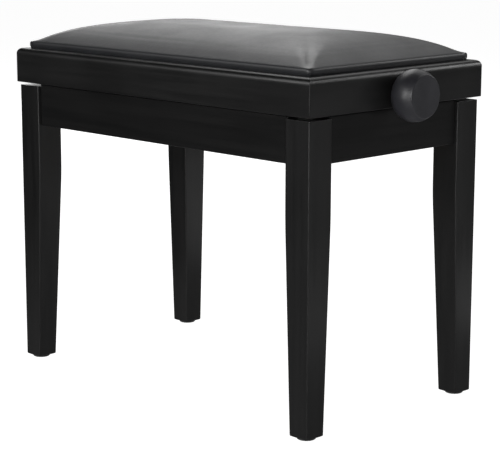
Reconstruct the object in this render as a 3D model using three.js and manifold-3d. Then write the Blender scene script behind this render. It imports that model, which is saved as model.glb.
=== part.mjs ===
// A height-adjustable piano bench: a padded seat on a scissor lift, worked by a screw with two knobs.
// Millimetres, +Z up. X runs along the bench, -Y is the front, and Z = 0 is the floor under its middle.
// It is drawn with the seat at its lowest position.
import * as THREE from "three";
import { mergeVertices } from "three/addons/utils/BufferGeometryUtils.js";
import Module from "manifold-3d";

const wasm = await Module();
wasm.setup();

// ---- Driving dimensions ----
const GAP = 0.3; // left between pieces that touch
const HALF_TURN = Math.PI;
const QUARTER_TURN = Math.PI / 2;

const SEAT_LENGTH = 555;
const SEAT_WIDTH = 317;
const SEAT_BOTTOM = 390;
const SEAT_RAIL_HEIGHT = 46.5;
const SEAT_RAIL_WIDTH = 34;
const SEAT_TOP = SEAT_BOTTOM + SEAT_RAIL_HEIGHT;
const TOP_ROUND = 8; // radius of the rails' upper outer edge
const FACE_BULGE = 0.3; // how far the rails' outer faces swell at mid height
const CORNER_ARRIS = 1.8; // radius of the seat frame's upright corners
const REBATE_INSET = 14; // visible top band round the cushion
const REBATE_DEPTH = 12;

const LEG_INSET = 3.5; // the legs stand this far inside the seat's outline
const LEG_SECTION = 39;
const LEG_FOOT_SECTION = 29.4;
const LEG_TOP = 386;
const LEG_TAPER_TOP = 281; // the two inner faces taper below this height
const LEG_ARRIS = 1.6;
const GLIDE_HEIGHT = 3;
const GLIDE_RADIUS = 12;

const APRON_BOTTOM = 332;
const APRON_TOP = 388.5; // they stand a little above the legs and close the gap under the seat
const APRON_RECESS = 5; // behind the legs' outer faces
const APRON_THICKNESS = 18;

const CUSHION_RISE = 37; // crown of the cover above the rails
const COVER_THICKNESS = 1.5;
const BOARD_THICKNESS = 9.7;

const LINK_LENGTH = 380; // between an arm's end pivots
const PIVOT_X = -190; // the fixed pivots, at the left
const BASE_PIVOT_Z = 376;
const SCREW_Z = 406; // the screw's axis and the seat's fixed pivots
const ARM_WIDTH = 18;
const PLATE = 3; // thickness of the steel arms and rails
const PIN_RADIUS = 4;
const PIN_HOLE = PIN_RADIUS + GAP;
const LOOSE = 0.8; // radial play where the linkage needs it
const ARM_A_Y = 97; // inner face of the outer pair of arms
const ARM_B_Y = 92; // inner face of the inner pair of arms
const RAIL_Y = 106; // inner face of the rails that carry the arms
const TAB_LENGTH = 20;
const TAB_SCREW_Y = 97;
const LIFT = 90;

const SCREW_RADIUS = 6;
const SCREW_BORE = SCREW_RADIUS + GAP;
const KNOB_START = SEAT_LENGTH / 2 + 2.5;
const KNOB_LENGTH = 37.5;
const KNOB_WIDEST = 21; // from the knob's inner end
const KNOB_RADIUS = 32;
const KNOB_FACE_RADIUS = 25.7;
const KNOB_NECK_RADIUS = 15;
const BEARING_RADIUS = 8.7;

// ---- Worked out from them ----
const HALF_LENGTH = SEAT_LENGTH / 2;
const HALF_WIDTH = SEAT_WIDTH / 2;
const LEG_X = HALF_LENGTH - LEG_INSET; // the legs' outer corners
const LEG_Y = HALF_WIDTH - LEG_INSET;
const APRON_OUT_X = LEG_X - APRON_RECESS;
const APRON_OUT_Y = LEG_Y - APRON_RECESS;
const APRON_IN_X = APRON_OUT_X - APRON_THICKNESS;
const SEAT_RAIL_IN_X = HALF_LENGTH - SEAT_RAIL_WIDTH;
const REST_ANGLE = Math.asin((SCREW_Z - BASE_PIVOT_Z) / LINK_LENGTH);
const RAISED_ANGLE = Math.asin((SCREW_Z - BASE_PIVOT_Z + LIFT) / LINK_LENGTH);
const SLIDER_X = PIVOT_X + LINK_LENGTH * Math.cos(REST_ANGLE);
const SLIDER_X_RAISED = PIVOT_X + LINK_LENGTH * Math.cos(RAISED_ANGLE);

// ---- Materials ----
const metal = (color, roughness) => new THREE.MeshStandardMaterial({ color, roughness, metalness: 1 });
const plain = (color, roughness) => new THREE.MeshStandardMaterial({ color, roughness, metalness: 0 });
const blackLacquer = plain(0x1c1c1d, 0.45);
const rawBeech = plain(0xc9a679, 0.7);
const plywood = plain(0xb9976a, 0.75);
const blackLeather = plain(0x2b2b2e, 0.4);
const foam = plain(0xe8dfb8, 0.95);
const zincSteel = metal(0xaeb2b5, 0.35);
const brass = metal(0xb58d3c, 0.3);
const blackPlastic = plain(0x2a2a2d, 0.4);
const nylon = plain(0xe6e4dc, 0.5);

// ---- Shape helpers ----
function solid(geometry) {
  const bare = geometry.clone();
  bare.deleteAttribute("normal");
  bare.deleteAttribute("uv");
  const merged = mergeVertices(bare, 1e-4);
  return new wasm.Manifold(
    new wasm.Mesh({
      numProp: 3,
      vertProperties: new Float32Array(merged.attributes.position.array),
      triVerts: new Uint32Array(merged.index.array),
    }),
  );
}

function geometryOf(shape) {
  const { vertProperties, triVerts } = shape.getMesh();
  const geometry = new THREE.BufferGeometry();
  geometry.setAttribute("position", new THREE.BufferAttribute(new Float32Array(vertProperties), 3));
  geometry.setIndex(new THREE.BufferAttribute(new Uint32Array(triVerts), 1));
  const faceted = geometry.toNonIndexed();
  faceted.computeVertexNormals();
  return faceted;
}

const cut = (geometry, ...tools) =>
  geometryOf(tools.reduce((left, tool) => left.subtract(solid(tool)), solid(geometry)));

// A round bar or hole along "x", "y" or "z", from one coordinate to another on that axis.
function bar(axis, radius, from, to, at = [0, 0, 0], sides = 16) {
  const shape = new THREE.CylinderGeometry(radius, radius, to - from, sides);
  if (axis === "x") shape.rotateZ(-QUARTER_TURN);
  if (axis === "z") shape.rotateX(QUARTER_TURN);
  const middle = (from + to) / 2;
  const shift = { x: [middle, 0, 0], y: [0, middle, 0], z: [0, 0, middle] }[axis];
  return shape.translate(at[0] + shift[0], at[1] + shift[1], at[2] + shift[2]);
}

// A turned piece along Y, from steps of [radius, distance] that begin and end on the axis.
function turned(profile, sides = 16) {
  return new THREE.LatheGeometry(profile.map(([r, y]) => new THREE.Vector2(r, y)), sides);
}

function outline(points) {
  return new THREE.Shape(points.map(([x, y]) => new THREE.Vector2(x, y)));
}

function extruded(shape, depth, curveSegments = 6) {
  return new THREE.ExtrudeGeometry(shape, { depth, bevelEnabled: false, curveSegments });
}

// Points round a rectangle with rounded corners, anticlockwise, at one height.
function roundedRectangle(x0, x1, y0, y1, radius, z, steps) {
  const corners = [
    [x1 - radius, y0 + radius, -1],
    [x1 - radius, y1 - radius, 0],
    [x0 + radius, y1 - radius, 1],
    [x0 + radius, y0 + radius, 2],
  ];
  return corners.flatMap(([x, y, quarter]) =>
    Array.from({ length: steps + 1 }, (_, i) => {
      const angle = (quarter + i / steps) * QUARTER_TURN;
      return [x + radius * Math.cos(angle), y + radius * Math.sin(angle), z];
    }),
  );
}

// A closed skin over rings of points, lowest ring first.
function loft(rings) {
  const count = rings[0].length;
  const centre = (ring) => [0, 1, 2].map((k) => ring.reduce((sum, p) => sum + p[k], 0) / count);
  const triangles = [];
  for (let i = 0; i < count; i++) {
    const j = (i + 1) % count;
    triangles.push(centre(rings[0]), rings[0][j], rings[0][i]);
    for (let k = 1; k < rings.length; k++) {
      const [low, high] = [rings[k - 1], rings[k]];
      triangles.push(low[i], low[j], high[j], low[i], high[j], high[i]);
    }
    const top = rings.at(-1);
    triangles.push(centre(top), top[i], top[j]);
  }
  const geometry = new THREE.BufferGeometry();
  geometry.setAttribute("position", new THREE.Float32BufferAttribute(triangles.flat(), 3));
  geometry.computeVertexNormals();
  return geometry;
}

function node(parent, name, geometry, material, position = [0, 0, 0], rotation = [0, 0, 0]) {
  const mesh = new THREE.Mesh(geometry, material);
  mesh.name = name;
  mesh.position.set(...position);
  mesh.rotation.set(...rotation);
  parent.add(mesh);
  return mesh;
}

function group(parent, position = [0, 0, 0], rotation = [0, 0, 0]) {
  const made = new THREE.Group();
  made.position.set(...position);
  made.rotation.set(...rotation);
  parent.add(made);
  return made;
}

// ---- Legs and corners: drawn for the back right leg, whose outer corner is the local origin ----
const BOLT_Z = 350;
const BOLT_RADIUS = 3;
const BLOCK_HEIGHT = 24;
const BLOCK_REACH = 81; // from the leg's outer corner, along each apron
const BLOCK_FACE = (BLOCK_REACH + APRON_RECESS + APRON_THICKNESS + GAP) / Math.SQRT2; // along the diagonal
const LEG_CORE = LEG_SECTION / Math.SQRT2; // the leg's middle, along the diagonal
const DIAGONAL = [0, 0, 0.75 * HALF_TURN]; // turns a piece along Y towards the middle of the bench
const NAIL_RADIUS = 1.5;
const NAIL_LENGTH = 12;

function legSection(z) {
  const blend = 0.12; // share of the taper over which it starts
  const down = Math.max(0, (LEG_TAPER_TOP - z) / (LEG_TAPER_TOP - GLIDE_HEIGHT));
  const eased = down < blend ? down ** 2 / (2 * blend) : down - blend / 2;
  return LEG_SECTION - ((LEG_SECTION - LEG_FOOT_SECTION) * eased) / (1 - blend / 2);
}

function legGeometry() {
  const chamfer = 1;
  const ring = (z, inset = 0) => {
    const inner = inset - legSection(z);
    return roundedRectangle(inner, -inset, inner, -inset, LEG_ARRIS, z, 3);
  };
  const heights = [GLIDE_HEIGHT + chamfer, 240, 250, 260, 270, LEG_TAPER_TOP, LEG_TOP];
  const body = loft([ring(GLIDE_HEIGHT, chamfer), ...heights.map((z) => ring(z))]);
  const boltHole = bar("y", BOLT_RADIUS + GAP, LEG_CORE, 60);
  boltHole.rotateZ(DIAGONAL[2]).translate(0, 0, BOLT_Z);
  const foot = -LEG_FOOT_SECTION / 2;
  const nailHole = bar("z", NAIL_RADIUS + GAP, 0, GLIDE_HEIGHT + NAIL_LENGTH + 1, [foot, foot, 0], 12);
  return cut(body, boltHole, nailHole);
}

function glideGeometry() {
  const top = GLIDE_HEIGHT - GAP;
  const rim = GLIDE_RADIUS - 1.2;
  const nailTop = GLIDE_HEIGHT + NAIL_LENGTH;
  return turned([[0, 0], [rim, 0], [GLIDE_RADIUS, 1], [GLIDE_RADIUS, top], [NAIL_RADIUS, top],
    [NAIL_RADIUS, nailTop], [0, nailTop]]).rotateX(QUARTER_TURN);
}

function blockGeometry() {
  const besideApron = -APRON_RECESS - APRON_THICKNESS - GAP;
  const besideLeg = -LEG_SECTION - GAP;
  const body = extruded(outline([[-BLOCK_REACH, besideApron], [besideLeg, besideApron],
    [besideLeg, besideLeg], [besideApron, besideLeg], [besideApron, -BLOCK_REACH]]), BLOCK_HEIGHT);
  body.translate(0, 0, BOLT_Z - BLOCK_HEIGHT / 2);
  const hole = bar("y", BOLT_RADIUS + GAP, 40, 90).rotateZ(DIAGONAL[2]).translate(0, 0, BOLT_Z);
  return cut(body, hole);
}

function legBoltGeometry() {
  const head = BLOCK_FACE + GAP;
  const start = LEG_CORE + 3;
  const shank = turned([[0, start], [BOLT_RADIUS, start], [BOLT_RADIUS, head + 1], [0, head + 1]]);
  const hexagon = new THREE.CylinderGeometry(5.8, 5.8, 4.5, 6).translate(0, head + 2.25, 0);
  return geometryOf(solid(shank).add(solid(hexagon)));
}

function addCorner(parent, label, sideX, sideY, quarterTurns) {
  const corner = group(parent, [sideX * LEG_X, sideY * LEG_Y, 0], [0, 0, quarterTurns * QUARTER_TURN]);
  const foot = -LEG_FOOT_SECTION / 2;
  node(corner, `leg_${label}`, legGeometry(), blackLacquer);
  node(corner, `glide_${label}`, glideGeometry(), blackPlastic, [foot, foot, 0]);
  node(corner, `corner_block_${label}`, blockGeometry(), rawBeech);
  node(corner, `leg_bolt_${label}`, legBoltGeometry(), zincSteel, [0, 0, BOLT_Z], DIAGONAL);
}

// ---- Aprons ----
const TAB_SCREW_RADIUS = 2;
const BASE_SCREW_Z = 372;

// Drawn along X with its outer face towards -Y.
function apronGeometry(halfLength) {
  const arris = 1.5;
  const rings = [-1, 1].map((end) =>
    roundedRectangle(0, APRON_THICKNESS, APRON_BOTTOM, APRON_TOP, arris, end * halfLength, 3));
  const along = new THREE.Matrix4().makeBasis(
    new THREE.Vector3(0, 1, 0), new THREE.Vector3(0, 0, 1), new THREE.Vector3(1, 0, 0));
  return loft(rings).applyMatrix4(along);
}

function sideApronGeometry(halfLength) {
  const holes = [-TAB_SCREW_Y, TAB_SCREW_Y].map((x) =>
    bar("y", TAB_SCREW_RADIUS + GAP, APRON_THICKNESS - 14, APRON_THICKNESS + 1, [x, 0, BASE_SCREW_Z], 12));
  return cut(apronGeometry(halfLength), ...holes);
}

function addAprons(parent) {
  const longHalf = LEG_X - LEG_SECTION - GAP;
  const shortHalf = LEG_Y - LEG_SECTION - GAP;
  node(parent, "apron_front", apronGeometry(longHalf), blackLacquer, [0, -APRON_OUT_Y, 0]);
  node(parent, "apron_back", apronGeometry(longHalf), blackLacquer, [0, APRON_OUT_Y, 0], [0, 0, HALF_TURN]);
  node(parent, "apron_right", sideApronGeometry(shortHalf), blackLacquer,
    [APRON_OUT_X, 0, 0], [0, 0, QUARTER_TURN]);
  node(parent, "apron_left", sideApronGeometry(shortHalf), blackLacquer,
    [-APRON_OUT_X, 0, 0], [0, 0, -QUARTER_TURN]);
}

// ---- Seat rails: a mitred frame, rebated inside for the cushion board ----
// Drawn along X with its outer face towards -Y and its underside at z = 0.
function seatRailGeometry(length, width) {
  const top = SEAT_RAIL_HEIGHT;
  const rebateFloor = top - REBATE_DEPTH;
  const chamfer = 0.6;
  const profile = new THREE.Shape();
  profile.moveTo(FACE_BULGE + chamfer, 0);
  profile.lineTo(SEAT_RAIL_WIDTH, 0);
  profile.lineTo(SEAT_RAIL_WIDTH, rebateFloor);
  profile.lineTo(REBATE_INSET, rebateFloor);
  profile.lineTo(REBATE_INSET, top - chamfer);
  profile.lineTo(REBATE_INSET - chamfer, top);
  profile.lineTo(FACE_BULGE + TOP_ROUND, top);
  profile.quadraticCurveTo(FACE_BULGE + 0.3, top, FACE_BULGE / 2, top - TOP_ROUND - 1);
  profile.quadraticCurveTo(-FACE_BULGE / 2, top / 2, FACE_BULGE, chamfer);
  profile.closePath();
  const along = new THREE.Matrix4().makeBasis(
    new THREE.Vector3(0, 1, 0), new THREE.Vector3(0, 0, 1), new THREE.Vector3(1, 0, 0));
  const stock = extruded(profile, length, 8).translate(0, 0, -length / 2).applyMatrix4(along);
  stock.translate(0, -width / 2, 0);
  const past = 1;
  const mitreGap = GAP / 2;
  const reach = (inward) => length / 2 - inward - mitreGap;
  const outer = -width / 2 - past;
  const inner = -width / 2 + SEAT_RAIL_WIDTH + past;
  const wedge = extruded(outline([[-reach(-past), outer], [reach(-past), outer],
    [reach(SEAT_RAIL_WIDTH + past), inner], [-reach(SEAT_RAIL_WIDTH + past), inner]]), top + 2 * past);
  wedge.translate(0, 0, -past);
  const corners = loft([-past, top + past].map((z) =>
    roundedRectangle(-length / 2, length / 2, -width / 2, width / 2, CORNER_ARRIS, z, 4)));
  return geometryOf(solid(stock).intersect(solid(wedge)).intersect(solid(corners)));
}

function sideSeatRailGeometry() {
  const width = SEAT_LENGTH;
  const inner = -width / 2 + SEAT_RAIL_WIDTH;
  const height = SCREW_Z - SEAT_BOTTOM;
  const bearingHole = bar("y", BEARING_RADIUS + GAP, -width / 2 - 2, inner + 2, [0, 0, height], 32);
  const screwHoles = [-TAB_SCREW_Y, TAB_SCREW_Y].map((x) =>
    bar("y", TAB_SCREW_RADIUS + GAP, inner - 14, inner + 1, [x, 0, height], 12));
  return cut(seatRailGeometry(SEAT_WIDTH, width), bearingHole, ...screwHoles);
}

function addSeatRails(parent) {
  const level = [0, 0, SEAT_BOTTOM];
  node(parent, "seat_rail_front", seatRailGeometry(SEAT_LENGTH, SEAT_WIDTH), blackLacquer, level);
  node(parent, "seat_rail_back", seatRailGeometry(SEAT_LENGTH, SEAT_WIDTH), blackLacquer, level,
    [0, 0, HALF_TURN]);
  node(parent, "seat_rail_right", sideSeatRailGeometry(), blackLacquer, level, [0, 0, QUARTER_TURN]);
  node(parent, "seat_rail_left", sideSeatRailGeometry(), blackLacquer, level, [0, 0, -QUARTER_TURN]);
}

// ---- Cushion: a plywood board, a foam block and a leather cover that wraps the board's edge ----
// The cover's side is a lip that bulges a little: [distance in from its edge, height above the rails].
const CUSHION_LIP = [[0, 0], [-1, 3.5], [-1, 6.5]];
const LIP_HEIGHT = 9.3;
// Above the lip the cover rises steeply at first and levels off at the crown.
const CROWN_SPAN = 110;
const CROWN_SOFTNESS = 38;
const CROWN_STEPS = [0, 4, 8, 18, 30, 45, 60, 80, CROWN_SPAN];
const risen = (inward) => 1 - Math.exp(-inward / CROWN_SOFTNESS);
const crownHeight = (inward) => LIP_HEIGHT + (CUSHION_RISE - LIP_HEIGHT) * risen(inward) / risen(CROWN_SPAN);
const CUSHION_SECTION = [...CUSHION_LIP, ...CROWN_STEPS.map((inward) => [inward, crownHeight(inward)])];
const CORNER_RADIUS = 5;
const BOARD_BOTTOM = SEAT_TOP - REBATE_DEPTH + GAP;

function pillow(inset, lower, bottom) {
  const halfX = HALF_LENGTH - REBATE_INSET - GAP - inset;
  const halfY = HALF_WIDTH - REBATE_INSET - GAP - inset;
  const ring = (inward, z) => {
    // Corners open out towards the crown, but never past a half circle.
    const radius = Math.min(CORNER_RADIUS - inset + Math.max(0, inward) * 0.45, 0.9 * (halfY - inward));
    return roundedRectangle(inward - halfX, halfX - inward, inward - halfY, halfY - inward, radius, z, 3);
  };
  const crown = CUSHION_SECTION.map(([inward, rise]) => ring(inward, SEAT_TOP + rise - lower));
  return loft([ring(0, bottom), ...crown]);
}

function addCushion(parent) {
  const skin = COVER_THICKNESS;
  const outside = pillow(0, 0, BOARD_BOTTOM + GAP);
  const inside = pillow(skin, skin, BOARD_BOTTOM - 1);
  node(parent, "cushion_cover", cut(outside, inside), blackLeather);
  const boardTop = BOARD_BOTTOM + BOARD_THICKNESS;
  node(parent, "cushion_foam", pillow(skin + GAP, skin + GAP, boardTop + GAP), foam);
  const inset = REBATE_INSET + 2 * GAP + skin;
  const ring = (z) => roundedRectangle(inset - HALF_LENGTH, HALF_LENGTH - inset,
    inset - HALF_WIDTH, HALF_WIDTH - inset, CORNER_RADIUS - skin - GAP, z, 3);
  node(parent, "cushion_board", loft([ring(BOARD_BOTTOM), ring(boardTop)]), plywood);
}

// ---- Steel rails that carry the arms, with a tab turned in at each end ----
// The steelwork of one side is drawn for the back of the bench and mirrored for the front.
const SLIDE_BUSH_RADIUS = 6;
const BASE_RAIL_Z = 364;
const BASE_RAIL_HEIGHT = 25.5;
const SEAT_BRACKET_Z = 396;
const SEAT_BRACKET_HEIGHT = 25;

// Stands on z = 0; pivotZ and screwZ are heights above that.
function armRailGeometry(halfLength, height, pivotZ, screwZ) {
  const outer = RAIL_Y + PLATE;
  const tabEnd = outer - TAB_LENGTH;
  const tabFace = halfLength - PLATE;
  const body = extruded(outline([[-halfLength, tabEnd], [-tabFace, tabEnd], [-tabFace, RAIL_Y],
    [tabFace, RAIL_Y], [tabFace, tabEnd], [halfLength, tabEnd], [halfLength, outer],
    [-halfLength, outer]]), height);
  const screwHole = bar("x", TAB_SCREW_RADIUS + GAP, -halfLength - 1, halfLength + 1,
    [0, TAB_SCREW_Y, screwZ], 12);
  const pivotHole = bar("y", PIN_HOLE, RAIL_Y - 1, outer + 1, [PIVOT_X, 0, pivotZ]);
  return cut(body, screwHole, pivotHole);
}

// The slot that the inner arms' feet slide along.
function slotGeometry() {
  const radius = SLIDE_BUSH_RADIUS + LOOSE;
  const slot = new THREE.Shape();
  slot.absarc(SLIDER_X_RAISED, 0, radius, QUARTER_TURN, -QUARTER_TURN, false);
  slot.absarc(SLIDER_X, 0, radius, -QUARTER_TURN, QUARTER_TURN, false);
  return extruded(slot, PLATE + 2, 10).rotateX(QUARTER_TURN)
    .translate(0, RAIL_Y + PLATE + 1, BASE_PIVOT_Z - BASE_RAIL_Z);
}

function baseRailGeometry() {
  const rail = armRailGeometry(APRON_IN_X - GAP, BASE_RAIL_HEIGHT, BASE_PIVOT_Z - BASE_RAIL_Z,
    BASE_SCREW_Z - BASE_RAIL_Z);
  return cut(rail, slotGeometry());
}

function seatBracketGeometry() {
  const height = SCREW_Z - SEAT_BRACKET_Z;
  return armRailGeometry(SEAT_RAIL_IN_X - GAP, SEAT_BRACKET_HEIGHT, height, height);
}

// Points along +Y from the wood's face, with its head on the tab.
function tabScrewGeometry() {
  const face = PLATE + 2 * GAP;
  return turned([[0, -11], [TAB_SCREW_RADIUS, -11], [TAB_SCREW_RADIUS, face], [3.8, face],
    [3.2, face + 1.4], [1.6, face + 2], [0, face + 2]], 16);
}

// ---- Pins and arms ----
const PIN_HEAD = 7;
const HEAD_THICKNESS = 2;
const SPACER = 6;

// A riveted pin along Y: each step is [radius, the distance at which it ends].
function steppedPin(start, steps) {
  const profile = [[0, start]];
  let y = start;
  for (const [radius, end] of steps) {
    profile.push([radius, y], [radius, end]);
    y = end;
  }
  profile.push([0, y]);
  return turned(profile);
}

function pivotPinGeometry(armY) {
  const inner = armY - GAP;
  const outer = RAIL_Y + PLATE + GAP;
  return steppedPin(inner - HEAD_THICKNESS, [[PIN_HEAD, inner], [PIN_RADIUS, armY + PLATE + GAP],
    [SPACER, RAIL_Y - GAP], [PIN_RADIUS, outer], [PIN_HEAD, outer + HEAD_THICKNESS]]);
}

function rivetGeometry() {
  const inner = ARM_B_Y - GAP;
  const outer = ARM_A_Y + PLATE + GAP;
  return steppedPin(inner - HEAD_THICKNESS, [[PIN_HEAD, inner], [PIN_RADIUS, outer],
    [PIN_HEAD, outer + HEAD_THICKNESS]]);
}

// An arm from its pivot along +X, with a hole at each end and one in the middle.
function armGeometry(faceY, middleHole) {
  const radius = ARM_WIDTH / 2;
  const shape = new THREE.Shape();
  shape.absarc(0, 0, radius, QUARTER_TURN, -QUARTER_TURN, false);
  shape.absarc(LINK_LENGTH, 0, radius, -QUARTER_TURN, QUARTER_TURN, false);
  const plate = extruded(shape, PLATE, 10).rotateX(QUARTER_TURN).translate(0, faceY + PLATE, 0);
  const hole = (x, r) => bar("y", r, faceY - 1, faceY + PLATE + 1, [x, 0, 0]);
  return cut(plate, hole(0, PIN_HOLE), hole(LINK_LENGTH / 2, middleHole), hole(LINK_LENGTH, PIN_HOLE));
}

const SLIDE_FLANGE_Y = 103;
const SLIDE_FLANGE_RADIUS = 9;
const SLIDE_BUSH_END = RAIL_Y + PLATE + 0.8;

function slideBushGeometry() {
  const flangeEnd = RAIL_Y - GAP;
  return turned([[PIN_HOLE, SLIDE_FLANGE_Y], [SLIDE_FLANGE_RADIUS, SLIDE_FLANGE_Y],
    [SLIDE_FLANGE_RADIUS, flangeEnd], [SLIDE_BUSH_RADIUS, flangeEnd],
    [SLIDE_BUSH_RADIUS, SLIDE_BUSH_END], [PIN_HOLE, SLIDE_BUSH_END], [PIN_HOLE, SLIDE_FLANGE_Y]]);
}

function slideBarGeometry() {
  const shoulder = ARM_B_Y - GAP;
  const end = SLIDE_BUSH_END + GAP;
  return steppedPin(-end - HEAD_THICKNESS, [[SPACER, -end], [PIN_RADIUS, -shoulder], [SPACER, shoulder],
    [PIN_RADIUS, end], [SPACER, end + HEAD_THICKNESS]]);
}

function addSide(parent, label, mirror) {
  const side = group(parent);
  side.scale.y = mirror;
  node(side, `base_rail_${label}`, baseRailGeometry(), zincSteel, [0, 0, BASE_RAIL_Z]);
  node(side, `seat_bracket_${label}`, seatBracketGeometry(), zincSteel, [0, 0, SEAT_BRACKET_Z]);
  node(side, `base_pivot_pin_${label}`, pivotPinGeometry(ARM_A_Y), zincSteel, [PIVOT_X, 0, BASE_PIVOT_Z]);
  node(side, `seat_pivot_pin_${label}`, pivotPinGeometry(ARM_B_Y), zincSteel, [PIVOT_X, 0, SCREW_Z]);
  node(side, `slide_bush_${label}`, slideBushGeometry(), nylon, [SLIDER_X, 0, BASE_PIVOT_Z]);

  const rising = group(side, [PIVOT_X, 0, BASE_PIVOT_Z], [0, -REST_ANGLE, 0]);
  node(rising, `scissor_arm_outer_${label}`, armGeometry(ARM_A_Y, PIN_HOLE), zincSteel);
  node(rising, `scissor_rivet_${label}`, rivetGeometry(), zincSteel, [LINK_LENGTH / 2, 0, 0]);
  const falling = group(side, [PIVOT_X, 0, SCREW_Z], [0, REST_ANGLE, 0]);
  node(falling, `scissor_arm_inner_${label}`, armGeometry(ARM_B_Y, PIN_RADIUS + LOOSE), zincSteel);

  const ends = [["left", -1], ["right", 1]];
  for (const [end, sign] of ends) {
    const turn = [0, 0, sign * QUARTER_TURN];
    const place = (x, z) => [sign * x, TAB_SCREW_Y, z];
    node(side, `base_screw_${label}_${end}`, tabScrewGeometry(), zincSteel,
      place(APRON_IN_X, BASE_SCREW_Z), turn);
    node(side, `seat_screw_${label}_${end}`, tabScrewGeometry(), zincSteel,
      place(SEAT_RAIL_IN_X, SCREW_Z), turn);
  }
}

// ---- The screw, its nut bar, bearings and knobs: turned pieces are drawn along Y and laid along X ----
const NUT_BAR_SECTION = 20;
const SHOULDER_RADIUS = 9;
const SHOULDER_LENGTH = 4.7;
const FLANGE_RADIUS = 14;
const FLANGE_THICKNESS = 2.7;
const SCREW_END = KNOB_START + 28;
const GRUB_X = KNOB_START + 11;
const GRUB_RADIUS = 2;

// The cross bar that the screw drives, with a journal at each end for the outer arms.
function nutBarGeometry() {
  const half = ARM_A_Y - GAP;
  const head = ARM_A_Y + PLATE + GAP;
  const block = new THREE.BoxGeometry(NUT_BAR_SECTION, 2 * half, NUT_BAR_SECTION);
  const axle = steppedPin(-head - HEAD_THICKNESS, [[SPACER, -head], [PIN_RADIUS, head],
    [SPACER, head + HEAD_THICKNESS]]);
  const bore = bar("x", SCREW_RADIUS + LOOSE, -NUT_BAR_SECTION, NUT_BAR_SECTION, [0, 0, 0], 24);
  return geometryOf(solid(block).add(solid(axle)).subtract(solid(bore)));
}

function screwGeometry() {
  const shoulderEnd = SEAT_RAIL_IN_X - GAP - FLANGE_THICKNESS - GAP;
  const shoulderStart = shoulderEnd - SHOULDER_LENGTH;
  const tip = SCREW_RADIUS - 0.8;
  const half = [[SCREW_RADIUS, shoulderStart], [SHOULDER_RADIUS, shoulderStart],
    [SHOULDER_RADIUS, shoulderEnd], [SCREW_RADIUS, shoulderEnd], [SCREW_RADIUS, SCREW_END - 1],
    [tip, SCREW_END], [0, SCREW_END]];
  const mirrored = half.map(([r, y]) => [r, -y]).reverse();
  return turned([...mirrored, ...half], 20);
}

function bearingGeometry() {
  const face = SEAT_RAIL_IN_X - GAP;
  const start = face - FLANGE_THICKNESS;
  const end = HALF_LENGTH - GAP;
  return turned([[SCREW_BORE, start], [FLANGE_RADIUS, start], [FLANGE_RADIUS, face],
    [BEARING_RADIUS, face], [BEARING_RADIUS, end], [SCREW_BORE, end], [SCREW_BORE, start]]);
}

// A ball flattened at both ends, with a blind bore for the screw and a hole for the grub screw.
function knobGeometry() {
  const faceX = KNOB_START + KNOB_LENGTH;
  const rim = 1;
  const widest = KNOB_START + KNOB_WIDEST;
  const frontLength = KNOB_LENGTH - KNOB_WIDEST;
  const front = frontLength / Math.sqrt(1 - (KNOB_FACE_RADIUS / KNOB_RADIUS) ** 2);
  const steps = 7;
  const back = Array.from({ length: steps }, (_, i) => {
    const angle = (i / steps) * QUARTER_TURN;
    return [KNOB_NECK_RADIUS + (KNOB_RADIUS - KNOB_NECK_RADIUS) * Math.sin(angle),
      widest - KNOB_WIDEST * Math.cos(angle)];
  });
  const barrel = Array.from({ length: steps }, (_, i) => {
    const x = (i / (steps - 1)) * (frontLength - rim);
    return [KNOB_RADIUS * Math.sqrt(1 - (x / front) ** 2), widest + x];
  });
  const face = [[KNOB_FACE_RADIUS - rim / 2, faceX - rim * 0.2], [KNOB_FACE_RADIUS - 1.5 * rim, faceX]];
  const body = turned([[0, KNOB_START], ...back, ...barrel, ...face, [0, faceX]], 32);
  const bore = bar("y", SCREW_BORE, KNOB_START - 1, SCREW_END + GAP);
  const grubHole = bar("z", GRUB_RADIUS + GAP, -KNOB_RADIUS, 0, [0, GRUB_X, 0], 12);
  return cut(body, bore, grubHole);
}

function grubScrewGeometry() {
  return bar("z", GRUB_RADIUS, -SCREW_RADIUS - 14, -SCREW_RADIUS - GAP, [0, GRUB_X, 0], 12);
}

function addScrew(parent) {
  const axis = group(parent, [0, 0, SCREW_Z]);
  node(axis, "lift_screw", screwGeometry(), zincSteel, [0, 0, 0], [0, 0, -QUARTER_TURN]);
  node(axis, "lift_nut_bar", nutBarGeometry(), zincSteel, [SLIDER_X, 0, 0]);
  for (const [end, sign] of [["left", -1], ["right", 1]]) {
    const half = group(axis, [0, 0, 0], [0, 0, -sign * QUARTER_TURN]);
    node(half, `screw_bearing_${end}`, bearingGeometry(), brass);
    node(half, `knob_${end}`, knobGeometry(), blackPlastic);
    node(half, `knob_grub_screw_${end}`, grubScrewGeometry(), zincSteel);
  }
}

// ---- The whole bench ----
const bench = new THREE.Group();
for (const [label, x, y, quarterTurns] of [["back_right", 1, 1, 0], ["back_left", -1, 1, 1],
  ["front_left", -1, -1, 2], ["front_right", 1, -1, 3]])
  addCorner(bench, label, x, y, quarterTurns);
addAprons(bench);
addSeatRails(bench);
addCushion(bench);
addSide(bench, "back", 1);
addSide(bench, "front", -1);
node(bench, "slide_bar", slideBarGeometry(), zincSteel, [SLIDER_X, 0, BASE_PIVOT_Z]);
addScrew(bench);

export default bench;
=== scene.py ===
"""The piano bench's looks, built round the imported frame.

Metres, +Z up, the floor at z = 0, the front towards -Y.
"""
import math

import bpy
import numpy as np
from mathutils import Matrix, Vector, noise


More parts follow.
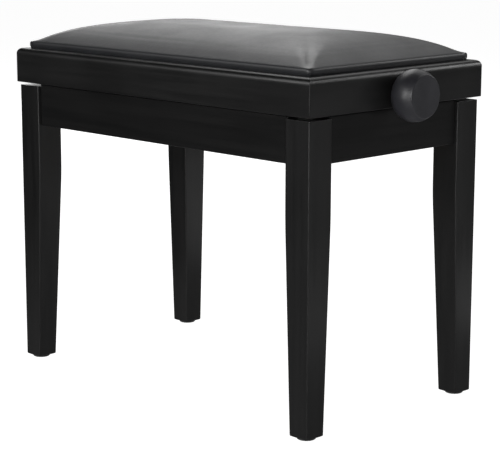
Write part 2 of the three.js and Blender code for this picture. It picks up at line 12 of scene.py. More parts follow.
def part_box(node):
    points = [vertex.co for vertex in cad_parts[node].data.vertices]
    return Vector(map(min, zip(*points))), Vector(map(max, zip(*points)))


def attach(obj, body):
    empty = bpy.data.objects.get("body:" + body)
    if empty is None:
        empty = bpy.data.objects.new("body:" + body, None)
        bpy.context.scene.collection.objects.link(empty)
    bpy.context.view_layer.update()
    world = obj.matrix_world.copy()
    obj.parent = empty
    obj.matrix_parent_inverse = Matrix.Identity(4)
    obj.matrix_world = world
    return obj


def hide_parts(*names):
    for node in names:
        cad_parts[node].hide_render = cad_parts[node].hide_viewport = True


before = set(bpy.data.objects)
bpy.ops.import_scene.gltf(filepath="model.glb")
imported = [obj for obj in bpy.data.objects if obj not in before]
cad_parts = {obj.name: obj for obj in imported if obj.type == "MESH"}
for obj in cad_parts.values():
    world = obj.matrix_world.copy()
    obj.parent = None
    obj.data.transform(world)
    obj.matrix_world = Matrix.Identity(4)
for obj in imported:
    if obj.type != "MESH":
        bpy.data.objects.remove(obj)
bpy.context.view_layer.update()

MM = 0.001

# ---------------------------------------------------------------- camera, lights and floor
FOCAL_MM = 121.85
SENSOR_MM = 36
LENS_SHIFT = (0.067, -0.008)
CAMERA_PLACE = Vector((1.6013, -1.5568, 0.6443))
CAMERA_AZIMUTH = math.radians(46.608)
CAMERA_ELEVATION = math.radians(11.123)
CAMERA_ROLL = math.radians(-0.128)


def make_camera():
    data = bpy.data.cameras.new("camera")
    data.lens = FOCAL_MM
    data.sensor_width = SENSOR_MM
    data.shift_x, data.shift_y = LENS_SHIFT
    camera = bpy.data.objects.new("camera", data)
    bpy.context.scene.collection.objects.link(camera)
    camera.location = CAMERA_PLACE
    turn = Matrix.Rotation(CAMERA_AZIMUTH, 3, "Z")
    turn = turn @ Matrix.Rotation(math.pi / 2 - CAMERA_ELEVATION, 3, "X")
    turn = turn @ Matrix.Rotation(CAMERA_ROLL, 3, "Z")
    camera.rotation_euler = turn.to_euler()
    bpy.context.scene.camera = camera


STUDIO_RADIUS = 3.2
BENCH_MIDDLE = 0.42
SOFTBOX_CLEARANCE = 0.02  # the least gap between a softbox and the floor
UPRIGHT_BELOW = 15  # degrees: a softbox lower than this stands upright, and a higher one leans to the bench
# How bright each kind of softbox is, in watts for each square metre of it.
DIM, SOFT, STRONG = 3, 8, 24
# Softboxes round the bench: name, azimuth and height above its middle in degrees, width and height in
# metres, brightness. Dim and soft ones behind give the seat its sheen, and strong ones light the faces.
SOFTBOXES = [
    ("back", 135, 35, 1.2, 0.9, SOFT), ("back_right", 105, 35, 1.4, 1.1, DIM),
    ("high_back_left", 150, 55, 1.8, 1.4, SOFT), ("high_back_right", 90, 55, 1.8, 1.4, DIM),
    ("horizon_back", 140, 18, 1.3, 0.9, DIM), ("horizon_left", 160, 18, 1.1, 0.8, SOFT),
    ("low_back", 140, 0, 1.1, 1, SOFT), ("front", -80, 10, 1.1, 1.6, STRONG),
    ("front_left", -120, 18, 1.1, 0.8, STRONG), ("right", 60, 18, 1.1, 0.8, STRONG),
    ("corner", -45, 5, 1.2, 1.2, STRONG),
]
# Light that comes back off the white floor: name, middle x and y, width and depth in metres, brightness.
GLOW, FAINT_GLOW = 2, 0.5
GLOW_HEIGHT = 0.002
FLOOR_GLOWS = [
    ("right", 1, 0, 0.9, 0.8, GLOW), ("behind", -0.2, 0.9, 1.8, 1, GLOW),
    ("far_right", 2, 1, 1.2, 2, GLOW), ("under", 0, 0, 1, 0.7, FAINT_GLOW),
    ("front", 0, -0.8, 1.6, 0.9, FAINT_GLOW),
]
WORLD_STRENGTH = 0.02
FLOOR_SIZE = 60
FLOOR_EMISSION = 0.97  # nearly all of the floor's white is its own, so that it stays even


def area_light(name, place, rotation, width, height, brightness):
    data = bpy.data.lights.new(name, "AREA")
    data.shape = "RECTANGLE"
    data.size, data.size_y = width, height
    data.energy = brightness * width * height
    light = bpy.data.objects.new(name, data)
    bpy.context.scene.collection.objects.link(light)
    light.location = place
    light.rotation_euler = rotation
    light.visible_camera = False


def make_lights():
    for name, azimuth, elevation, width, height, brightness in SOFTBOXES:
        turn, tilt = math.radians(azimuth), math.radians(elevation)
        flat = math.cos(tilt)
        place = STUDIO_RADIUS * Vector((flat * math.cos(turn), flat * math.sin(turn), math.sin(tilt)))
        place.z += BENCH_MIDDLE
        place.z = max(place.z, height / 2 + SOFTBOX_CLEARANCE)
        target = Vector((0, 0, place.z if elevation < UPRIGHT_BELOW else BENCH_MIDDLE))
        rotation = (target - place).to_track_quat("-Z", "Y").to_euler()
        area_light(f"softbox_{name}", place, rotation, width, height, brightness)
    facing_up = (math.pi, 0, 0)
    for name, x, y, width, depth, brightness in FLOOR_GLOWS:
        area_light(f"floor_glow_{name}", (x, y, GLOW_HEIGHT), facing_up, width, depth, brightness)
    world = bpy.data.worlds.new("studio")
    bpy.context.scene.world = world
    world.use_nodes = True
    background = world.node_tree.nodes["Background"]
    background.inputs["Color"].default_value = (1, 1, 1, 1)
    background.inputs["Strength"].default_value = WORLD_STRENGTH
    world.cycles_visibility.glossy = False


def make_floor():
    bpy.ops.mesh.primitive_plane_add(size=FLOOR_SIZE, location=(0, 0, 0))
    floor = bpy.context.object
    floor.name = "floor"
    floor.visible_glossy = False
    shader = Shader("pale_floor")
    tone = shader.ramp(shader.noise(3, detail=3), [(0.3, (0.3, 0.3, 0.3)), (0.7, (0.31, 0.31, 0.31))])
    shader.link(tone, "Base Color")
    shader.set(Roughness=0.8, Emission_Color=(1, 1, 1, 1), Emission_Strength=FLOOR_EMISSION)
    floor.data.materials.append(shader.material)


# ---------------------------------------------------------------- materials
# Pattern scales are in features for each metre, bump distances are in metres and colours are linear.
class Shader:
    """A principled material, with short calls for the nodes that feed it."""

    def __init__(self, name):
        self.material = bpy.data.materials.new(name)
        self.material.use_nodes = True
        self.tree = self.material.node_tree
        self.surface = self.tree.nodes["Principled BSDF"]
        self.place = self.tree.nodes.new("ShaderNodeTexCoord").outputs["Object"]

    def set(self, **values):
        for name, value in values.items():
            self.surface.inputs[name.replace("_", " ")].default_value = value

    def link(self, output, name):
        self.tree.links.new(output, self.surface.inputs[name])

    def _node(self, kind, links, **settings):
        node = self.tree.nodes.new(kind)
        for key, value in settings.items():
            setattr(node, key, value)
        for key, value in links.items():
            socket = node.inputs[key]
            if isinstance(value, bpy.types.NodeSocket):
                self.tree.links.new(value, socket)
            else:
                socket.default_value = value
        return node

    def stretched(self, x, y, z):
        """The place, scaled along each axis. A pattern made on it is drawn out where the number is small."""
        links = {"Vector": self.place, "Scale": (x, y, z)}
        return self._node("ShaderNodeMapping", links).outputs["Vector"]

    def noise(self, scale, detail, roughness=0.5, distortion=0.0, at=None):
        return self._node("ShaderNodeTexNoise", {
            "Vector": at or self.place, "Scale": scale, "Detail": detail,
            "Roughness": roughness, "Distortion": distortion}).outputs["Fac"]

    def cells(self, scale, feature="F1", at=None):
        links = {"Vector": at or self.place, "Scale": scale}
        return self._node("ShaderNodeTexVoronoi", links, feature=feature).outputs["Distance"]

    def math(self, operation, a, b):
        return self._node("ShaderNodeMath", {0: a, 1: b}, operation=operation).outputs[0]

    def range(self, value, low, high, to_low, to_high):
        return self._node("ShaderNodeMapRange", {
            "Value": value, "From Min": low, "From Max": high,
            "To Min": to_low, "To Max": to_high}).outputs["Result"]

    def ramp(self, value, stops):
        node = self._node("ShaderNodeValToRGB", {"Fac": value})
        points = node.color_ramp.elements
        while len(points) < len(stops):
            points.new(0.5)
        for point, (position, colour) in zip(points, stops):
            point.position = position
            point.color = (*colour, 1)
        return node.outputs["Color"]

    def axis(self, name):
        return self._node("ShaderNodeSeparateXYZ", {"Vector": self.place}).outputs[name]

    def bump(self, height, strength, distance, under=None):
        """Bump from a height. It lies on another bump when that one's normal is given."""
        links = {"Height": height, "Strength": strength, "Distance": distance}
        if under is not None:
            links["Normal"] = under
        normal = self._node("ShaderNodeBump", links).outputs["Normal"]
        self.link(normal, "Normal")
        return normal


GLOSS, DULL_GLOSS = 0.5, 0.22
GRAIN_ALONG, GRAIN_ACROSS = 4, 110
LACQUER_TONES = [(0.32, (0.0042, 0.0042, 0.0043)), (0.7, (0.0068, 0.0067, 0.0067))]
LEATHER_TONES = [(0.3, (0.0105, 0.011, 0.0125)), (0.75, (0.0165, 0.017, 0.019))]
ZINC_TONES = [(0.3, (0.46, 0.47, 0.5)), (0.8, (0.66, 0.66, 0.64))]
BRASS_TONES = [(0.3, (0.52, 0.36, 0.13)), (0.75, (0.72, 0.53, 0.24))]
BEECH_TONES = [(0.25, (0.42, 0.26, 0.13)), (0.55, (0.6, 0.41, 0.23)), (0.8, (0.68, 0.49, 0.3))]
PLYWOOD_TONES = [(0.3, (0.47, 0.31, 0.17)), (0.6, (0.62, 0.46, 0.28))]
# The foam's tones run from painted shade deep in a pore to the open foam.
FOAM_TONES_WITH_PORE_SHADE = [(0.1, (0.5, 0.42, 0.2)), (0.55, (0.82, 0.74, 0.45))]
KNOB_COLOUR = (0.013, 0.013, 0.0155)
GLIDE_COLOUR = (0.02, 0.02, 0.02)
NYLON_COLOUR = (0.62, 0.6, 0.54)
PLASTIC_UNEVENNESS = 1.35  # how much lighter plastic is where it is lightest
PLY_THICKNESS = 0.0014


def lacquer(name, along, gloss):
    """Satin black lacquer over fine straight grain that runs along one axis."""
    s = Shader(name)
    scale = [GRAIN_ALONG if axis == along else GRAIN_ACROSS for axis in "xyz"]
    grain = s.noise(1, detail=5, roughness=0.62, distortion=0.5, at=s.stretched(*scale))
    pores = s.noise(7, detail=2, roughness=0.7, at=s.stretched(*scale))
    cloud = s.noise(9, detail=3, roughness=0.55)
    s.link(s.ramp(grain, LACQUER_TONES), "Base Color")
    wear = s.math("ADD", cloud, s.math("MULTIPLY", grain, 0.6))
    s.link(s.range(wear, 0.5, 1.1, to_low=0.27, to_high=0.4), "Roughness")
    s.set(IOR=1.46, Specular_IOR_Level=gloss)
    first = s.bump(grain, strength=0.12, distance=0.0006)
    s.bump(pores, strength=0.08, distance=0.0003, under=first)
    return s.material


def leather():
    """Black upholstery leather with a fine pebble, soft larger unevenness and a little sheen."""
    s = Shader("black_leather")
    pebble = s.cells(640, feature="SMOOTH_F1")
    wrinkle = s.noise(210, detail=4, roughness=0.6, distortion=0.8)
    cloud = s.noise(14, detail=3)
    tone = s.math("ADD", s.math("MULTIPLY", pebble, 0.5), s.math("MULTIPLY", cloud, 0.6))
    s.link(s.ramp(tone, LEATHER_TONES), "Base Color")
    wear = s.math("ADD", cloud, s.math("MULTIPLY", wrinkle, 0.4))
    s.link(s.range(wear, 0.45, 0.95, to_low=0.36, to_high=0.5), "Roughness")
    s.set(IOR=1.5, Sheen_Weight=0.06, Sheen_Roughness=0.4)
    first = s.bump(pebble, strength=0.18, distance=0.0004)
    s.bump(wrinkle, strength=0.12, distance=0.0005, under=first)
    return s.material


def steel():
    """Bright zinc plate: drawn lines and a mottled, spangled film."""
    s = Shader("zinc_steel")
    lines = s.noise(1, detail=3, roughness=0.6, at=s.stretched(30, 900, 900))
    spangle = s.cells(160)
    film = s.noise(26, detail=3)
    tone = s.math("ADD", s.math("MULTIPLY", film, 0.7), s.math("MULTIPLY", spangle, 0.4))
    s.link(s.ramp(tone, ZINC_TONES), "Base Color")
    s.link(s.range(s.math("ADD", lines, film), 0.6, 1.4, to_low=0.24, to_high=0.46), "Roughness")
    s.set(Metallic=1.0)
    s.bump(lines, strength=0.06, distance=0.0002)
    return s.material


def brass():
    """Turned brass, with tool rings across its axis."""
    s = Shader("bearing_brass")
    rings = s.noise(1, detail=2, at=s.stretched(1500, 40, 40))
    film = s.noise(60, detail=3)
    s.link(s.ramp(film, BRASS_TONES), "Base Color")
    s.link(s.range(rings, 0.3, 0.7, to_low=0.2, to_high=0.42), "Roughness")
    s.set(Metallic=1.0)
    s.bump(rings, strength=0.08, distance=0.0002)
    return s.material


def beech():
    """Bare beech, with its short flecks in the bump."""
    s = Shader("raw_beech")
    grain = s.noise(1, detail=4, roughness=0.6, distortion=1.2, at=s.stretched(18, 120, 120))
    flecks = s.cells(1, at=s.stretched(260, 900, 900))
    s.link(s.ramp(grain, BEECH_TONES), "Base Color")
    s.link(s.range(grain, 0.2, 0.8, to_low=0.58, to_high=0.78), "Roughness")
    first = s.bump(grain, strength=0.25, distance=0.0005)
    s.bump(flecks, strength=0.1, distance=0.0003, under=first)
    return s.material


def plywood():
    """Birch ply: long face grain, and the plies' bands where the height changes."""
    s = Shader("birch_plywood")
    grain = s.noise(1, detail=5, roughness=0.6, distortion=2.0, at=s.stretched(3, 55, 9))
    plies = s.math("PINGPONG", s.axis("Z"), PLY_THICKNESS)
    tone = s.math("ADD", s.math("MULTIPLY", grain, 0.85), s.math("MULTIPLY", plies, 110))
    s.link(s.ramp(tone, PLYWOOD_TONES), "Base Color")
    s.link(s.range(grain, 0.3, 0.7, to_low=0.62, to_high=0.8), "Roughness")
    s.bump(grain, strength=0.2, distance=0.0004)
    return s.material


def plastic(name, colour, roughness):
    """Moulded plastic with a fine texture."""
    s = Shader(name)
    texture = s.noise(1500, detail=2)
    cloud = s.noise(45, detail=3)
    light = tuple(c * PLASTIC_UNEVENNESS for c in colour)
    s.link(s.ramp(cloud, [(0.35, colour), (0.7, light)]), "Base Color")
    s.link(s.range(cloud, 0.3, 0.7, to_low=roughness - 0.04, to_high=roughness + 0.05), "Roughness")
    s.bump(texture, strength=0.1, distance=0.00012)
    return s.material


def foam_rubber():
    """Yellow open-pored seat foam, with painted shade in its pores."""
    s = Shader("seat_foam")
    pores = s.cells(900)
    # Painted shade: each pore's colour darkens towards its middle, where the bump makes it lowest.
    s.link(s.ramp(pores, FOAM_TONES_WITH_PORE_SHADE), "Base Color")
    s.set(Roughness=0.95)
    s.bump(pores, strength=0.6, distance=0.0007)
    return s.material


# ---------------------------------------------------------------- CAD nodes that stay
SAME_POINT = 1e-5
FLAT_ANGLE = math.radians(0.3)
EDGE_ANGLE = math.radians(32)
EDGE_SEGMENTS = 2
# How wide the eased edges are on small parts, on finished parts, on the board and on the blocks.
SMALL_EDGE, FINISHED_EDGE, BOARD_EDGE, BLOCK_EDGE = 0.3 * MM, 0.4 * MM, 0.5 * MM, 0.8 * MM


def dress(node, material, bevel):
    """Gives a CAD node its material, and its eased edges by modifiers that leave its mesh alone."""
    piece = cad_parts[node]
    piece.data.materials.clear()
    piece.data.materials.append(material)
    weld = piece.modifiers.new("weld", "WELD")
    weld.merge_threshold = SAME_POINT
    flat = piece.modifiers.new("merge_flats", "DECIMATE")
    flat.decimate_type = "DISSOLVE"
    flat.angle_limit = FLAT_ANGLE
    ease = piece.modifiers.new("eased_edges", "BEVEL")
    ease.width = bevel
    ease.segments = EDGE_SEGMENTS
    ease.limit_method = "ANGLE"
    ease.angle_limit = EDGE_ANGLE
    ease.miter_outer = "MITER_ARC"
    ease.use_clamp_overlap = True
    normals = piece.modifiers.new("normals", "WEIGHTED_NORMAL")
    normals.keep_sharp = False
    piece.data.polygons.foreach_set("use_smooth", [True] * len(piece.data.polygons))


# ---------------------------------------------------------------- new pieces
def smooth_mesh(name, vertices, faces, material):
    mesh = bpy.data.meshes.new(name)
    mesh.from_pydata([tuple(v) for v in vertices], [], [tuple(f) for f in faces])
    mesh.materials.append(material)
    mesh.polygons.foreach_set("use_smooth", [True] * len(mesh.polygons))
    return mesh


def add_mesh(name, vertices, faces, material):
    mesh = smooth_mesh(name, vertices, faces, material)
    mesh.validate()
    piece = bpy.data.objects.new(name, mesh)
    bpy.context.scene.collection.objects.link(piece)
    return piece


def turned(profile, sides, centre, sign):
    """Vertices and faces of a piece turned about X. Its profile of (distance, radius) ends on the axis."""
    vertices, faces = [], []
    rings = profile[1:-1]
    for along, radius in rings:
        for k in range(sides):
            angle = math.tau * k / sides
            vertices.append((centre.x + sign * along, centre.y + radius * math.cos(angle),
                             centre.z + radius * math.sin(angle)))
    start = len(vertices)
    end = start + 1
    vertices.append((centre.x + sign * profile[0][0], centre.y, centre.z))
    vertices.append((centre.x + sign * profile[-1][0], centre.y, centre.z))
    for r in range(len(rings) - 1):
        for k in range(sides):
            a, b = r * sides + k, r * sides + (k + 1) % sides
            faces.append((a, b, b + sides, a + sides))
    last_ring = (len(rings) - 1) * sides
    for k in range(sides):
        nxt = (k + 1) % sides
        faces.append((start, nxt, k))
        faces.append((end, last_ring + k, last_ring + nxt))
    if sign < 0:
        faces = [tuple(reversed(f)) for f in faces]
    return vertices, faces


def arc(centre, radius, start, end, steps):
    """Points on an ellipse's arc. Centre and radius are pairs, and the angles are in degrees."""
    for i in range(steps + 1):
        angle = math.radians(start + (end - start) * i / steps)
        yield centre[0] + radius[0] * math.cos(angle), centre[1] + radius[1] * math.sin(angle)


KNOB_SIDES = 128
KNOB_ROUGHNESS = 0.4
KNOB_WIDEST = 0.56  # where along its length a knob is widest
KNOB_NECK, KNOB_NECK_EASE = 15 * MM, 1 * MM
KNOB_BORE_DEPTH, KNOB_BORE_RADIUS = 12 * MM, 6.4 * MM
KNOB_FACE, KNOB_RIM = 25.7 * MM, 1.2 * MM  # the radius of its flat face and of the rounding round it
KNOB_RIM_TURN = 75  # degrees that the rim turns through, from the ball to the flat face
KNOB_DISH = 0.2 * MM


def make_knobs():
    """Each knob is a ball flattened at both ends, with a crisp rim round a flat face."""
    material = plastic("knob_plastic", KNOB_COLOUR, KNOB_ROUGHNESS)
    for end, sign in (("left", -1), ("right", 1)):
        low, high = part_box(f"knob_{end}")
        inner_end = low.x if sign > 0 else high.x
        base = Vector((inner_end, (low.y + high.y) / 2, (low.z + high.z) / 2))
        length, radius = high.x - low.x, (high.z - low.z) / 2
        widest = KNOB_WIDEST * length
        front = (length - widest) / math.sqrt(1 - (KNOB_FACE / radius) ** 2)
        rim_angle = math.degrees(math.acos((length - widest - KNOB_RIM) / front))
        profile = [(KNOB_BORE_DEPTH, 0), (KNOB_BORE_DEPTH, KNOB_BORE_RADIUS), (0, KNOB_BORE_RADIUS),
                   (0, KNOB_NECK - KNOB_NECK_EASE)]
        profile += list(arc((widest, KNOB_NECK), (widest, radius - KNOB_NECK), 180, 90, 24))[1:]
        profile += list(arc((widest, 0), (front, radius), 90, rim_angle, 20))[1:]
        edge = profile[-1][1]
        profile += list(arc((length - KNOB_RIM, edge - KNOB_RIM), (KNOB_RIM, KNOB_RIM), KNOB_RIM_TURN, 0, 5))
        profile += [(length, edge - 2 * KNOB_RIM), (length - 0.75 * KNOB_DISH, edge - 4 * KNOB_RIM),
                    (length - KNOB_DISH, 0)]
        knob = add_mesh(f"knob_{end}_turned", *turned(profile, KNOB_SIDES, base, sign), material)
        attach(knob, "screw")
        knob.modifiers.new("normals", "WEIGHTED_NORMAL")
        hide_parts(f"knob_{end}")


# ---------------------------------------------------------------- cushion
COVER_STEP = 3.6 * MM
CORNER_RADIUS = 5 * MM
# The cover rises steeply above its lip and levels off at the crown, which is flat this far in from its edge.
LIP_HEIGHT = 9.3 * MM
CROWN_SPAN = 110 * MM
CROWN_SOFTNESS = 38 * MM
# The lip bulges out and turns down into the rebate. From the top, in mm: how far in, how high.
LIP = [
    (-0.7, 8.3), (-1.2, 6.9), (-1.4, 5.4), (-1.3, 3.9), (-0.9, 2.4),
    (-0.3, 1.0), (0.2, -0.4), (0.2, -5), (0.2, -11),
]
COVER_INSET = 1.6 * MM  # keeps the lip's bulge inside the CAD cover's box
CORNER_WIDENING = 0.6  # how much the corner radius grows with the distance in
CORNER_LIMIT = 0.9  # the largest corner radius, as a share of half the outline's depth
COVER_THICKNESS = 1.2 * MM
# How far the cover starts below its shape, so that the cloth can lift it. It grows over this distance in.
SWELL, SWELL_REACH, SWELL_POWER = 2.5 * MM, 40 * MM, 0.7
CLOTH_SHARE = 0.3  # how much of the cloth's own slackness the cover keeps
CLOTH_FRAMES = 20
HELD_EDGE = 1 * MM  # the cloth is held within this distance of the edge, which has no creases either
SOFTEN_SHARE, SOFTEN_PASSES = 0.7, 14
# Creases beside each edge: where their band lies, how wide and high it is, how far apart and long they are.
EDGE_CREASE_INSET, EDGE_CREASE_BAND, EDGE_CREASE_HEIGHT = 26 * MM, 15 * MM, 0.35 * MM
EDGE_CREASE_SPACING, EDGE_CREASE_LENGTH = 7 * MM, 170 * MM
# Creases that fan out from each corner: how far they reach, how high they are, how many and how long.
FAN_REACH, FAN_HEIGHT = 55 * MM, 0.55 * MM
FAN_FREQUENCY, FAN_LENGTH = 5, 60 * MM
# The tuck at each corner: its grid, its upper end above the rails, and how far down it runs.
TUCK_ROWS, TUCK_COLUMNS = 7, 5
TUCK_TOP, TUCK_LENGTH = 9 * MM, 9.4 * MM
TUCK_START, TUCK_SPREAD = 40, 22  # degrees round the corner
TUCK_BULGE, TUCK_THICKNESS, TUCK_DEPTH = 1.4 * MM, 0.7 * MM, 0.5 * MM
# How far off the lip all of it stands, and how much further its first edge does.
TUCK_LIFT, TUCK_EDGE_LIFT = 0.15 * MM, 0.55 * MM
FOAM_GAP = 2.2 * COVER_THICKNESS
FOAM_STEP = 2  # the foam takes every second point of the cover's grid


def crown_height(inset, rise):
    """The cover's height above the seat rails at a distance in from its edge."""
    risen = 1 - math.exp(-min(inset, CROWN_SPAN) / CROWN_SOFTNESS)
    return LIP_HEIGHT + (rise - LIP_HEIGHT) * risen / (1 - math.exp(-CROWN_SPAN / CROWN_SOFTNESS))


def on_rounded_rectangle(x, y, half_x, half_y, radius):
    """Moves a point of a sharp rectangle's edge to one with round corners, and gives its outward normal."""
    gap_x, gap_y = half_x - abs(x), half_y - abs(y)
    if max(gap_x, gap_y) >= radius or radius <= 0:
        away = (1.0, 0.0) if gap_x < gap_y else (0.0, 1.0)
        return x, y, math.copysign(away[0], x), math.copysign(away[1], y)
    share = 0.5 * (1 - gap_y / radius) if gap_x <= gap_y else 1 - 0.5 * (1 - gap_x / radius)
    angle = share * math.pi / 2
    away = (math.cos(angle), math.sin(angle))
    return (math.copysign(half_x - radius + radius * away[0], x),
            math.copysign(half_y - radius + radius * away[1], y),
            math.copysign(away[0], x), math.copysign(away[1], y))


def swell_height(inset):
    """How far the cover starts below its shape at a distance in from its edge."""
    return SWELL * np.clip(inset / SWELL_REACH, 0, 1) ** SWELL_POWER


def cover_grid(half_x, half_y, level, rise):
    """The cover as a grid over its top with the lip round it: its points, its faces and the grid's size."""
    nx, ny = round(2 * half_x / COVER_STEP), round(2 * half_y / COVER_STEP)
    vertices, index, away = [], {}, {}
    for i in range(nx + 1):
        for j in range(ny + 1):
            inset = min(i, nx - i, j, ny - j) * COVER_STEP
            x = -half_x + 2 * half_x * i / nx
            y = -half_y + 2 * half_y * j / ny
            radius = min(CORNER_RADIUS + CORNER_WIDENING * inset, CORNER_LIMIT * (half_y - inset))
            x, y, out_x, out_y = on_rounded_rectangle(x, y, half_x - inset, half_y - inset, radius)
            height = crown_height(inset, rise) - swell_height(inset)
            index[i, j] = len(vertices)
            away[index[i, j]] = (out_x, out_y)
            vertices.append((x, y, level + height))
    faces = [(index[i, j], index[i + 1, j], index[i + 1, j + 1], index[i, j + 1])
             for i in range(nx) for j in range(ny)]
    edge = [index[i, 0] for i in range(nx)] + [index[nx, j] for j in range(ny)]
    edge += [index[i, ny] for i in range(nx, 0, -1)] + [index[0, j] for j in range(ny, 0, -1)]
    above = edge
    for inward, height in LIP:
        below = []
        for v in edge:
            x, y, _ = vertices[v]
            out_x, out_y = away[v]
            below.append(len(vertices))
            vertices.append((x - out_x * inward * MM, y - out_y * inward * MM, level + height * MM))
        for k in range(len(edge)):
            nxt = (k + 1) % len(edge)
            faces.append((above[k], below[k], below[nxt], above[nxt]))
        above = below
    return np.array(vertices), faces, (nx, ny)


def inflate(piece, held, room):
    """Blows the cover out with cloth like a filled cushion. No point moves further than its own room."""
    start = np.array([v.co[:] for v in piece.data.vertices])
    group = piece.vertex_groups.new(name="held")
    group.add([int(i) for i in held], 1.0, "REPLACE")
    cloth = piece.modifiers.new("cloth", "CLOTH")
    cloth.settings.quality = 6
    cloth.settings.mass = 0.3
    cloth.settings.tension_stiffness = 12
    cloth.settings.compression_stiffness = 12
    cloth.settings.shear_stiffness = 6
    cloth.settings.bending_stiffness = 0.8
    cloth.settings.use_pressure = True
    cloth.settings.uniform_pressure_force = 4
    cloth.settings.vertex_group_mass = "held"
    cloth.settings.effector_weights.gravity = 0
    cloth.collision_settings.use_collision = False
    cloth.point_cache.frame_start, cloth.point_cache.frame_end = 1, CLOTH_FRAMES
    for step in range(1, CLOTH_FRAMES + 1):
        bpy.context.scene.frame_set(step)
    evaluated = piece.evaluated_get(bpy.context.evaluated_depsgraph_get())
    blown = np.array([v.co[:] for v in evaluated.data.vertices])
    piece.modifiers.remove(cloth)
    bpy.context.scene.frame_set(1)
    piece.vertex_groups.clear()
    move = blown - start
    length = np.linalg.norm(move, axis=1, keepdims=True)
    return start + move * np.minimum(1, room[:, None] / np.maximum(length, 1e-9))


def soften(points, size):
    """Rounds the cover's ridges in place: each point off the edge nears the mean height round it."""
    height = points[:, 2].reshape(size[0] + 1, size[1] + 1)
    for _ in range(SOFTEN_PASSES):
        mean = (height[:-2, 1:-1] + height[2:, 1:-1] + height[1:-1, :-2] + height[1:-1, 2:]) / 4
        height[1:-1, 1:-1] += SOFTEN_SHARE * (mean - height[1:-1, 1:-1])


def crease(points, half_x, half_y):
    """Adds faint creases in place: long ones beside each edge, short ones that fan out from the corners."""
    for point in points:
        x, y = float(point[0]), float(point[1])
        gap_x, gap_y = half_x - abs(x), half_y - abs(y)
        inset = min(gap_x, gap_y)
        if inset < HELD_EDGE:
            continue
        # The last coordinate of each noise makes one edge or corner unlike the next.
        across, along, side = (gap_x, y, 1.7) if gap_x < gap_y else (gap_y, x, 5.3)
        side += math.copysign(3, x + y)
        lines = noise.noise(Vector((across / EDGE_CREASE_SPACING, along / EDGE_CREASE_LENGTH, side)))
        near_edge = math.exp(-((inset - EDGE_CREASE_INSET) / EDGE_CREASE_BAND) ** 2)
        corner = math.hypot(gap_x, gap_y)
        turn = math.atan2(gap_y, gap_x) * FAN_FREQUENCY
        which = math.copysign(2, x) + math.copysign(5, y)
        fan = noise.noise(Vector((turn, corner / FAN_LENGTH, which)))
        near_corner = math.exp(-(corner / FAN_REACH) ** 2)
        point[2] += EDGE_CREASE_HEIGHT * near_edge * lines + FAN_HEIGHT * near_corner * fan


def tuck_points(corner, sign_x, sign_y, level):
    """One tuck's points: the layer that lies in the lip, then the outer one, each as rows from the top."""
    points = []
    for outer in (False, True):
        for row in range(TUCK_ROWS):
            drop = row / (TUCK_ROWS - 1)
            bulge = TUCK_BULGE * math.sin(math.pi * min(1, 0.15 + 0.85 * drop))
            for column in range(TUCK_COLUMNS):
                share = column / (TUCK_COLUMNS - 1)
                turn = TUCK_START + share * TUCK_SPREAD
                angle = math.radians(turn if sign_x * sign_y > 0 else 90 - turn)
                lift = TUCK_LIFT + (1 - share) * TUCK_EDGE_LIFT * math.sin(math.pi * (0.1 + 0.8 * drop))
                reach = CORNER_RADIUS + bulge + (lift + TUCK_THICKNESS if outer else -TUCK_DEPTH)
                points.append((corner.x + sign_x * reach * math.cos(angle),
                               corner.y + sign_y * reach * math.sin(angle),
                               level + TUCK_TOP - TUCK_LENGTH * drop))
    return points


def tuck_faces(first):
    """One tuck's faces: both layers and the rim that joins them. Its points start at the index given."""
    def at(layer, row, column):
        return first + (layer * TUCK_ROWS + row) * TUCK_COLUMNS + column

    faces = []
    for layer in (0, 1):
        for r in range(TUCK_ROWS - 1):
            for c in range(TUCK_COLUMNS - 1):
                faces.append((at(layer, r, c), at(layer, r, c + 1),
                              at(layer, r + 1, c + 1), at(layer, r + 1, c)))
    rim = [(0, c) for c in range(TUCK_COLUMNS)] + [(r, TUCK_COLUMNS - 1) for r in range(1, TUCK_ROWS)]
    rim += [(TUCK_ROWS - 1, c) for c in range(TUCK_COLUMNS - 2, -1, -1)]
    rim += [(r, 0) for r in range(TUCK_ROWS - 2, 0, -1)]
    for k, (r, c) in enumerate(rim):
        r2, c2 = rim[(k + 1) % len(rim)]
        faces.append((at(0, r, c), at(1, r, c), at(1, r2, c2), at(0, r2, c2)))
    return faces


def tucks(first, half_x, half_y, level):
    """A small tuck of folded leather at each corner of the lip, as closed flaps that lie on it."""
    vertices, faces = [], []
    for sign_x in (-1, 1):
        for sign_y in (-1, 1):
            corner = Vector((sign_x * (half_x - CORNER_RADIUS), sign_y * (half_y - CORNER_RADIUS)))
            faces += tuck_faces(first + len(vertices))
            vertices += tuck_points(corner, sign_x, sign_y, level)
    return vertices, faces


def foam_block(points, size, board_top, material):
    """The foam under the cover: the cover's own shape, a little smaller, closed on the board."""
    nx, ny = size
    shrink_x = 1 - FOAM_GAP / np.abs(points[:, 0]).max()
    shrink_y = 1 - FOAM_GAP / np.abs(points[:, 1]).max()
    xs = list(range(0, nx, FOAM_STEP)) + [nx]
    ys = list(range(0, ny, FOAM_STEP)) + [ny]
    vertices, faces = [], []
    for layer in (0, 1):
        for i in xs:
            for j in ys:
                x, y, z = points[i * (ny + 1) + j]
                height = z - FOAM_GAP if layer else board_top
                vertices.append((x * shrink_x, y * shrink_y, height))
    across, layer_size = len(ys), len(xs) * len(ys)
    for a in range(len(xs) - 1):
        for b in range(across - 1):
            q = (a * across + b, (a + 1) * across + b, (a + 1) * across + b + 1, a * across + b + 1)
            faces.append(tuple(reversed(q)))
            faces.append(tuple(v + layer_size for v in q))
    rim = [a * across for a in range(len(xs))]
    rim += [(len(xs) - 1) * across + b for b in range(1, across)]
    rim += [a * across + across - 1 for a in range(len(xs) - 2, -1, -1)]
    rim += list(range(across - 2, 0, -1))
    for k, v in enumerate(rim):
        w = rim[(k + 1) % len(rim)]
        faces.append((v, w, w + layer_size, v + layer_size))
    return add_mesh("cushion_foam_block", vertices, faces, material)


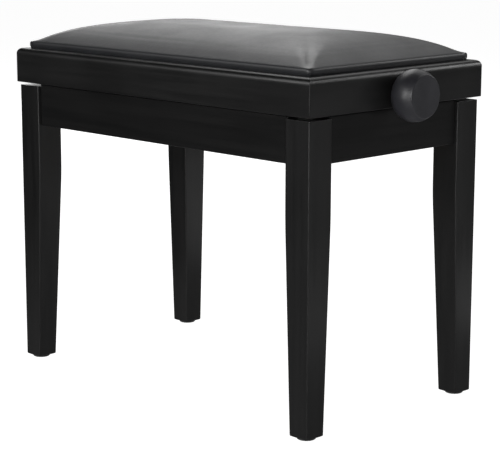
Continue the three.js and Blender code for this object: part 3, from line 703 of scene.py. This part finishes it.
def make_cushion():
    """The leather cover, shaped by formula and then by cloth, with creases and tucks, and the foam in it."""
    low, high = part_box("cushion_cover")
    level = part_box("seat_rail_front")[1].z
    half_x, half_y = (high.x - low.x) / 2 - COVER_INSET, (high.y - low.y) / 2 - COVER_INSET
    vertices, faces, size = cover_grid(half_x, half_y, level, high.z - level)
    top_count = (size[0] + 1) * (size[1] + 1)
    material = leather()
    cover = add_mesh("cushion_leather_cover", vertices, faces, material)
    inset = np.minimum(half_x - np.abs(vertices[:, 0]), half_y - np.abs(vertices[:, 1]))
    room = swell_height(inset)
    room[top_count:] = 0
    shaped = vertices + np.outer(room, (0, 0, 1))
    held = [i for i in range(len(vertices)) if i >= top_count or inset[i] < HELD_EDGE]
    shaped += CLOTH_SHARE * (inflate(cover, held, room) - shaped)
    top = shaped[:top_count]
    soften(top, size)
    crease(top, half_x, half_y)
    folds, fold_faces = tucks(len(shaped), half_x, half_y, level)
    points = list(shaped) + folds
    cover.data = smooth_mesh("cushion_leather_cover", points, faces + fold_faces, material)
    thick = cover.modifiers.new("thickness", "SOLIDIFY")
    thick.thickness = COVER_THICKNESS
    thick.offset = -1
    smooth = cover.modifiers.new("smooth", "SUBSURF")
    smooth.levels = smooth.render_levels = 1
    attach(cover, "seat")
    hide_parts("cushion_cover")
    foam = foam_block(top, size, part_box("cushion_foam")[0].z, foam_rubber())
    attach(foam, "seat")
    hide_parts("cushion_foam")


# ---------------------------------------------------------------- the whole bench
STEEL_NODES = ("leg_bolt", "base_", "seat_bracket", "seat_pivot", "seat_screw", "scissor", "slide_bar",
               "lift_", "knob_grub")


def dress_nodes():
    """Gives each CAD node that stays its material. The order matters: leg bolts come before legs."""
    zinc, bearing = steel(), brass()
    black = {axis: lacquer(f"black_lacquer_{axis}", axis, GLOSS) for axis in "xyz"}
    dull = {axis: lacquer(f"dull_lacquer_{axis}", axis, DULL_GLOSS) for axis in "xy"}
    block, ply = beech(), plywood()
    glide = plastic("glide_plastic", GLIDE_COLOUR, 0.5)
    bush = plastic("nylon", NYLON_COLOUR, 0.42)
    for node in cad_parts:
        along = "x" if node.endswith(("front", "back")) else "y"
        if node.startswith(STEEL_NODES):
            dress(node, zinc, SMALL_EDGE)
        elif node.startswith("leg_"):
            dress(node, black["z"], FINISHED_EDGE)
        elif node.startswith("apron_"):
            dress(node, dull[along], FINISHED_EDGE)
        elif node.startswith("seat_rail_"):
            dress(node, black[along], FINISHED_EDGE)
        elif node.startswith("corner_block"):
            dress(node, block, BLOCK_EDGE)
        elif node.startswith("glide"):
            dress(node, glide, FINISHED_EDGE)
        elif node.startswith("slide_bush"):
            dress(node, bush, SMALL_EDGE)
        elif node.startswith("screw_bearing"):
            dress(node, bearing, SMALL_EDGE)
        elif node == "cushion_board":
            dress(node, ply, BOARD_EDGE)


make_camera()
make_lights()
make_floor()
dress_nodes()
make_knobs()
make_cushion()
bpy.context.scene.view_settings.view_transform = "Standard"
